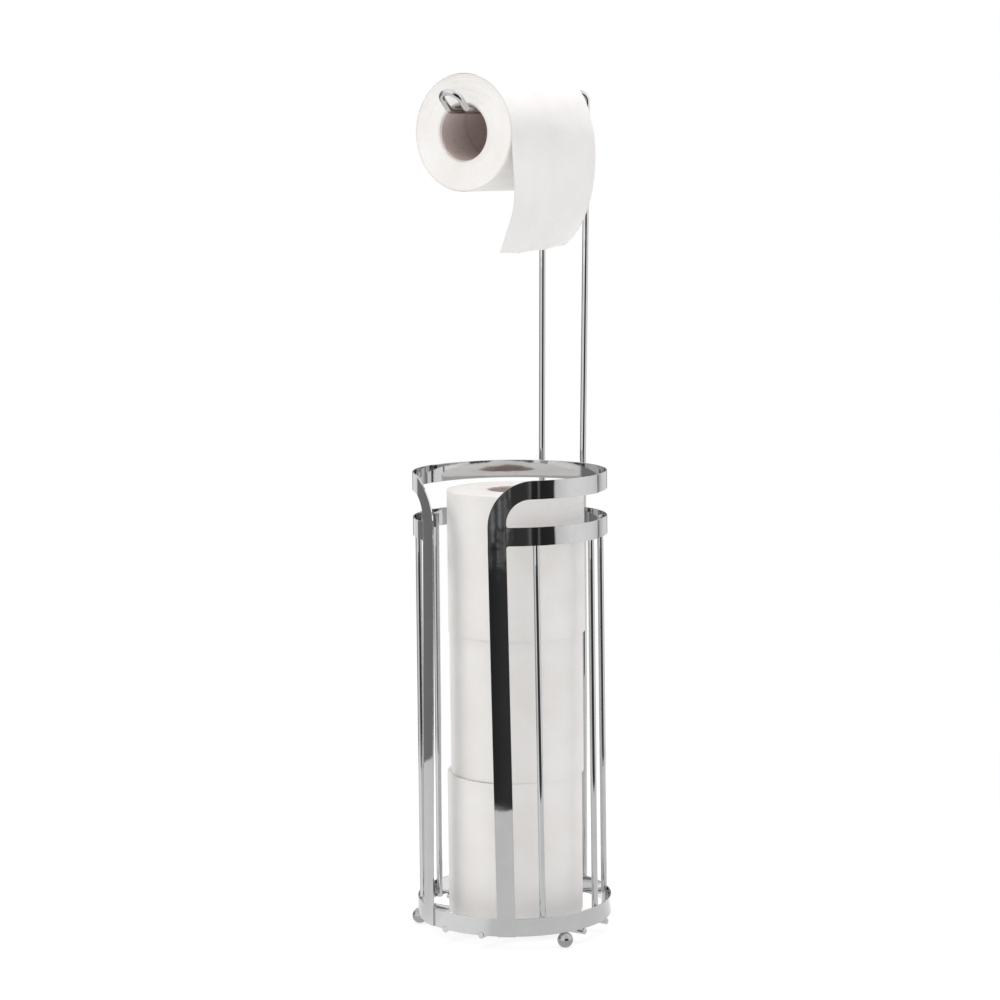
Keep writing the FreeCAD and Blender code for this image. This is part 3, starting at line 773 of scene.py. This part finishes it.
def core(name, body, node, lying, seed):
    """A board tube whose cut ends are a little fuzzy."""
    outer, length, place = roll_place(node, lying)
    outer -= 0.02 * MM
    wall, rounding, worn, plain = 0.78 * MM, 0.15 * MM, 0.2 * MM, 1.5 * MM
    inner = outer - wall
    heights = [0, rounding, *steps(plain, length - plain, 15), length - rounding, length]
    inset = [worn if i in (0, len(heights) - 1) else 0.0 for i in range(len(heights))]
    profile = [(inner + d, height) for d, height in zip(inset, heights)]
    profile += [(outer - d, height) for d, height in zip(inset, heights)][::-1]

    def shift(radius, height, turn):
        lump = noise.noise(Vector((math.cos(turn), math.sin(turn), height * 20 + seed)))
        fuzz = noise.noise(Vector((math.cos(turn) * 9, math.sin(turn) * 9, seed)))
        end = min(height, length - height)
        trim = (0.25 * MM * (0.5 + 0.5 * fuzz)) if end < worn else 0.0
        return radius - 0.12 * MM * (0.5 + 0.5 * lump), min(max(height, trim), length - trim)

    points, faces = revolved(profile, 96, shift)
    add_piece(name, body, points, faces, [core_board], place, (node,))


for seed, level in enumerate(("bottom", "middle", "top"), start=1):
    body = f"reserve_{level}_roll"
    paper, board = f"reserve_{level}_paper", f"reserve_{level}_core"
    paper_roll(f"reserve_{level}_tissue", body, paper, board, False, seed * 1.7)
    core(f"reserve_{level}_board", body, board, False, seed * 2.3)
paper_roll("hanging_tissue", "hanging_roll", "hanging_roll_paper", "hanging_roll_core", True, 4.4)
core("hanging_board", "hanging_roll", "hanging_roll_core", True, 5.1)


def loose_sheet():
    """The outer layer and its free end: once round the roll from the nip on its +X side, down
    from there, and curling in at the end.  The far side follows the roll and curls most; the
    near side flares out first.  The edge is torn along its perforations."""
    paper_low, paper_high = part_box("hanging_roll_paper")
    radius = (paper_high.x - paper_low.x) / 2
    axis = (paper_low.z + paper_high.z) / 2
    near_edge, far_edge = paper_low.y + 0.06 * MM, paper_high.y - 0.06 * MM
    width = far_edge - near_edge
    inner, outer = radius + 0.16 * MM, radius + 0.42 * MM
    arc = math.pi * (inner + outer)
    free, far_extra = 84.5 * MM, 3.0 * MM
    across_count, round_count, free_count = 72, 160, 70
    flare, near_curl, far_curl = (math.radians(angle) for angle in (4.5, 22, 56))
    flare_end, curl_start, curl_reach = 0.45, 0.42, 0.36
    scallops = 36

    def swing(share, along):
        """The free end's lean from plumb, inwards, at a share of its length."""
        eased = min(max((along - curl_start) / curl_reach, 0.0), 1.0)
        near = near_curl * eased * eased * (3 - 2 * eased)
        near -= flare * math.sin(math.pi * min(along / flare_end, 1.0))
        far = far_curl * along**2.0
        weight = share**1.25
        return near + (far - near) * weight

    points, coordinates = [], []
    for i in range(across_count):
        share = i / (across_count - 1)
        stray = 0.12 * MM * noise.noise(Vector((share * 3, 8.1, 0)))
        for j in range(round_count):
            done = j / round_count
            turn = 2 * math.pi * (1 - done)
            level = inner + (outer - inner) * done + stray - dent(turn, share)
            edge = 0.05 * MM * noise.noise(Vector((done * 30, share, 2.2)))
            y = near_edge + width * share + edge
            points.append(Vector((level * math.cos(turn), y, axis + level * math.sin(turn))))
            coordinates.append((share * width, arc * done))
        scallop = 0.30 * MM * math.sin(share * 2 * math.pi * scallops)
        ragged = 1.6 * MM * noise.noise(Vector((share * 3.3, 3.0, 0.4)))
        ragged += 0.5 * MM * noise.noise(Vector((share * 17, 5.0, 0.4)))
        length = free + far_extra * share + scallop + ragged
        x, z = outer + stray, axis
        for j in range(free_count):
            along = j / (free_count - 1)
            crease = 0.5 * MM * along * noise.noise(Vector((share * 4, along * 2.5, 1.7)))
            pressed = dent(-length * along / outer, share)
            points.append(Vector((x + crease - pressed, near_edge + width * share, z)))
            coordinates.append((share * width, arc + length * along))
            lean = swing(share, along + 0.5 / free_count)
            step = length / (free_count - 1)
            x -= step * math.sin(lean)
            z -= step * math.cos(lean)
    faces = grid_faces(across_count, round_count + free_count)
    piece = add_piece(
        "loose_paper", "paper_end", points, faces, [tissue_sheet], None, ("loose_sheet",)
    )
    layer = piece.data.uv_layers.new(name="flat")
    for loop in piece.data.loops:
        layer.data[loop.index].uv = coordinates[loop.vertex_index]
    thick = piece.modifiers.new("thickness", "SOLIDIFY")
    thick.thickness = 0.2 * MM
    thick.offset = 0.0


loose_sheet()

# ---------------------------------------------------------------- studio

WHITE = (1.0, 1.0, 1.0, 1.0)
# The small oval table that the chrome sees round its foot, and the floor's visible end, as
# distances from the stand.
TABLE_REACH = 0.508
TABLE_STRETCH = 1.35
HORIZON_REACH = 3.4
OVERHEAD = 1.35
# What the chrome sees round the stand.  Each pair is an angle in degrees, from the camera's side
# and positive to its right, and how bright the studio is there: dark flats with slits between
# them in front, white flats on both sides, and grey curtains with a white gap behind.
DARK, DIM = 0.022, 0.05
SLITS = [(18, DIM), (22, 0.13), (23.4, 0.28), (24, DARK), (31, DARK), (32, 0.20), (34.5, DARK)]
RIGHT_EDGE = [(51.5, 0.035), (52.3, 0.86)]
RIGHT_FLAT = [(73, 1.10), (89, 1.10), (110, 1.0), (121, 0.85)]
CURTAIN = [(122, 0.22), (127, 0.34), (133, 0.70), (142, 0.90)]
# The table's top, the studio from the table to the horizon, and the studio above the horizon.
STUDIO_TABLE = [
    (-180, 0.92), (-100, 0.88), (-70, 1.15), (-27, 1.05),
    (-20, 0.84), (95, 0.88), (112, 1.0), (122, 1.3),
]
STUDIO_BELOW = [
    (-180, 0.30), (-163, 0.30), (-162, 0.95), (-141, 0.95), (-140, 0.24), (-100, 0.24),
    (-95, 0.90), (-30, 0.90), (-28, DARK), (-8, 0.045),
    *SLITS, *RIGHT_EDGE, *RIGHT_FLAT, *CURTAIN, (162, 0.85), (163, 0.30),
]
STUDIO_ABOVE = [
    (-180, 0.25), (-161, 0.25), (-160, 0.90), (-141, 0.90), (-140, 0.25), (-97, 0.25),
    (-90, 0.80), (-60, 1.05), (-9, 1.05), (-7, DARK), (44, DARK), (48, 0.6),
    *RIGHT_FLAT, (160, 0.9), (161, 0.25),
]


def studio_shades(n, vector, *tables):
    """How bright each of the tables is in a direction from the stand."""
    turned = n.add(
        "ShaderNodeVectorRotate", _rotation_type="Z_AXIS", Vector=vector, Angle=-VIEW_AZIMUTH
    )
    split = n.add("ShaderNodeSeparateXYZ", Vector=turned.outputs["Vector"])
    ahead = n.math("MULTIPLY", split.outputs["Y"], -1.0)
    turn = n.math("ARCTAN2", split.outputs["X"], ahead)
    share = n.math("MULTIPLY_ADD", turn, 0.5 / math.pi, 0.5)
    shares = [[((angle + 180) / 360, shade) for angle, shade in stops] for stops in tables]
    return [n.ramp(share, stops) for stops in shares]


def world():
    """A white room for the eye and for soft light; chrome sees the studio."""
    space = bpy.data.worlds.new("studio")
    bpy.context.scene.world = space
    n = Nodes(space)
    direction = n.add("ShaderNodeTexCoord").outputs["Generated"]
    height = n.add("ShaderNodeSeparateXYZ", Vector=direction).outputs["Z"]
    (around,) = studio_shades(n, direction, STUDIO_ABOVE)
    overhead = n.ramp(height, [(0.35, 0.0), (0.55, 0.8)])
    seen = n.mix(overhead, around, WHITE)
    path = n.add("ShaderNodeLightPath")
    glossy = n.add("ShaderNodeBackground", Color=seen, Strength=OVERHEAD)
    soft = n.add("ShaderNodeBackground", Color=(1.0, 0.97, 0.98, 1.0), Strength=0.59)
    plain = n.add("ShaderNodeBackground", Color=WHITE, Strength=1.0)
    is_glossy, is_camera = path.outputs["Is Glossy Ray"], path.outputs["Is Camera Ray"]
    first = n.add("ShaderNodeMixShader", i0=is_glossy, i1=soft.outputs[0], i2=glossy.outputs[0])
    second = n.add("ShaderNodeMixShader", i0=is_camera, i1=first.outputs[0], i2=plain.outputs[0])
    n.add("ShaderNodeOutputWorld", Surface=second.outputs[0])


def length_of(n, vector):
    return n.add("ShaderNodeVectorMath", _operation="LENGTH", i0=vector).outputs["Value"]


def mirrored_floor(n, where, far):
    """What the chrome sees of the floor: the table, the studio beyond it with faint clouds in
    front and to the left, and past the horizon's distance the same as the world."""
    near, below, above = studio_shades(n, where, STUDIO_TABLE, STUDIO_BELOW, STUDIO_ABOVE)
    aligned = n.add(
        "ShaderNodeVectorRotate", _rotation_type="Z_AXIS", Vector=where, Angle=-VIEW_AZIMUTH
    ).outputs["Vector"]
    split = n.add("ShaderNodeSeparateXYZ", Vector=aligned)
    distant = n.ramp(n.math("MULTIPLY", far, 0.25), [(0.50, 0.0), (0.54, 1.0)])
    left = n.ramp(split.outputs["X"], [(0.0, 1.0), (0.12, 0.0)])
    in_front = n.ramp(n.math("MULTIPLY", split.outputs["Y"], -1.0), [(0.1, 0.0), (0.5, 1.0)])
    cloudy = n.math("MULTIPLY", distant, n.math("MULTIPLY", left, in_front))
    clouds = n.ramp(n.noise(where, 4.5, 3.0), [(0.42, 0.0), (0.66, 0.24)])
    clouds = n.math("MULTIPLY", cloudy, clouds)
    added = {"_data_type": "RGBA", "_blend_type": "ADD"}
    below = n.add("ShaderNodeMix", i0=1.0, i6=below, i7=clouds, **added).outputs[2]
    stretch = (TABLE_STRETCH, 1.0, 1.0)
    oval = n.add("ShaderNodeVectorMath", _operation="DIVIDE", i0=aligned, i1=stretch).outputs[0]
    seen = n.mix(n.math("GREATER_THAN", length_of(n, oval), TABLE_REACH), near, below)
    return n.mix(n.math("GREATER_THAN", far, HORIZON_REACH), seen, above)


def floor():
    """A pale floor that fades to white for the eye, and shows the studio to the chrome."""
    mesh = bpy.data.meshes.new("floor")
    half_size = 30.0
    ways = ((-1, -1), (1, -1), (1, 1), (-1, 1))
    corners = [(x * half_size, y * half_size, 0) for x, y in ways]
    mesh.from_pydata(corners, [], [(0, 1, 2, 3)])
    piece = bpy.data.objects.new("floor", mesh)
    bpy.context.scene.collection.objects.link(piece)
    material = bpy.data.materials.new("floor")
    n = Nodes(material)
    where = n.add("ShaderNodeTexCoord").outputs["Object"]
    far = length_of(n, where)
    pale = n.add("ShaderNodeBsdfPrincipled", Base__Color=(0.24, 0.24, 0.242, 1.0), Roughness=0.9)
    pale.inputs["Emission Color"].default_value = WHITE
    pale.inputs["Emission Strength"].default_value = 0.78
    white = n.add("ShaderNodeEmission", Color=WHITE, Strength=1.0)
    fade = n.ramp(far, [(0.15, 0.0), (0.7, 1.0)], "EASE")
    table = n.add("ShaderNodeMixShader", i0=fade, i1=pale.outputs["BSDF"], i2=white.outputs[0])
    studio = n.add("ShaderNodeEmission", Color=mirrored_floor(n, where, far), Strength=1.0)
    is_glossy = n.add("ShaderNodeLightPath").outputs["Is Glossy Ray"]
    both = n.add("ShaderNodeMixShader", i0=is_glossy, i1=table.outputs[0], i2=studio.outputs[0])
    n.add("ShaderNodeOutputMaterial", Surface=both.outputs[0])
    mesh.materials.append(material)


def soft_light(name, place, aim, size, power, colour):
    """A large soft lamp that lights paper and board, and that chrome doesn't show.  place is how
    far it is from the stand's foot to the camera's right, towards the camera and up, and aim is
    the height that it points at."""
    data = bpy.data.lights.new(name, "AREA")
    data.shape = "DISK"
    data.size = size
    data.energy = power
    data.color = colour
    lamp = bpy.data.objects.new(name, data)
    bpy.context.scene.collection.objects.link(lamp)
    rightward, nearer, up = place
    spot = Matrix.Rotation(VIEW_AZIMUTH, 3, "Z") @ Vector((rightward, -nearer, up))
    lamp.location = spot
    lamp.rotation_euler = (Vector((0, 0, aim)) - spot).to_track_quat("-Z", "Y").to_euler()
    lamp.visible_glossy = False


def camera():
    """The photograph's viewpoint: almost level with the arm, and far away."""
    data = bpy.data.cameras.new("camera")
    data.lens = VIEW_LENS
    data.sensor_width = 36.0
    data.clip_start, data.clip_end = 0.05, 100.0
    piece = bpy.data.objects.new("camera", data)
    bpy.context.scene.collection.objects.link(piece)
    forward = Vector((
        math.sin(VIEW_YAW) * math.cos(VIEW_PITCH),
        math.cos(VIEW_YAW) * math.cos(VIEW_PITCH),
        -math.sin(VIEW_PITCH),
    ))
    right = Vector((math.cos(VIEW_YAW), -math.sin(VIEW_YAW), 0))
    level_up = right.cross(forward)
    across = right * math.cos(VIEW_ROLL) + level_up * math.sin(VIEW_ROLL)
    up = level_up * math.cos(VIEW_ROLL) - right * math.sin(VIEW_ROLL)
    turn = Matrix((across, up, -forward)).transposed().to_4x4()
    place = Matrix.Translation(Vector((0, -VIEW_DISTANCE, VIEW_HEIGHT)))
    piece.matrix_world = Matrix.Rotation(VIEW_AZIMUTH, 4, "Z") @ place @ turn
    bpy.context.scene.camera = piece


world()
floor()
soft_light("key", (-1.6, 1.1, 2.0), 0.4, 1.2, 18.0, (1.0, 0.985, 0.93))
soft_light("fill", (1.7, 1.0, 0.5), 0.15, 1.2, 2.2, (1.0, 0.985, 0.98))
soft_light("top", (0.2, 0.1, 2.6), 0.5, 1.6, 34.0, (1.0, 0.99, 1.0))
camera()
bpy.context.scene.view_settings.view_transform = "Standard"
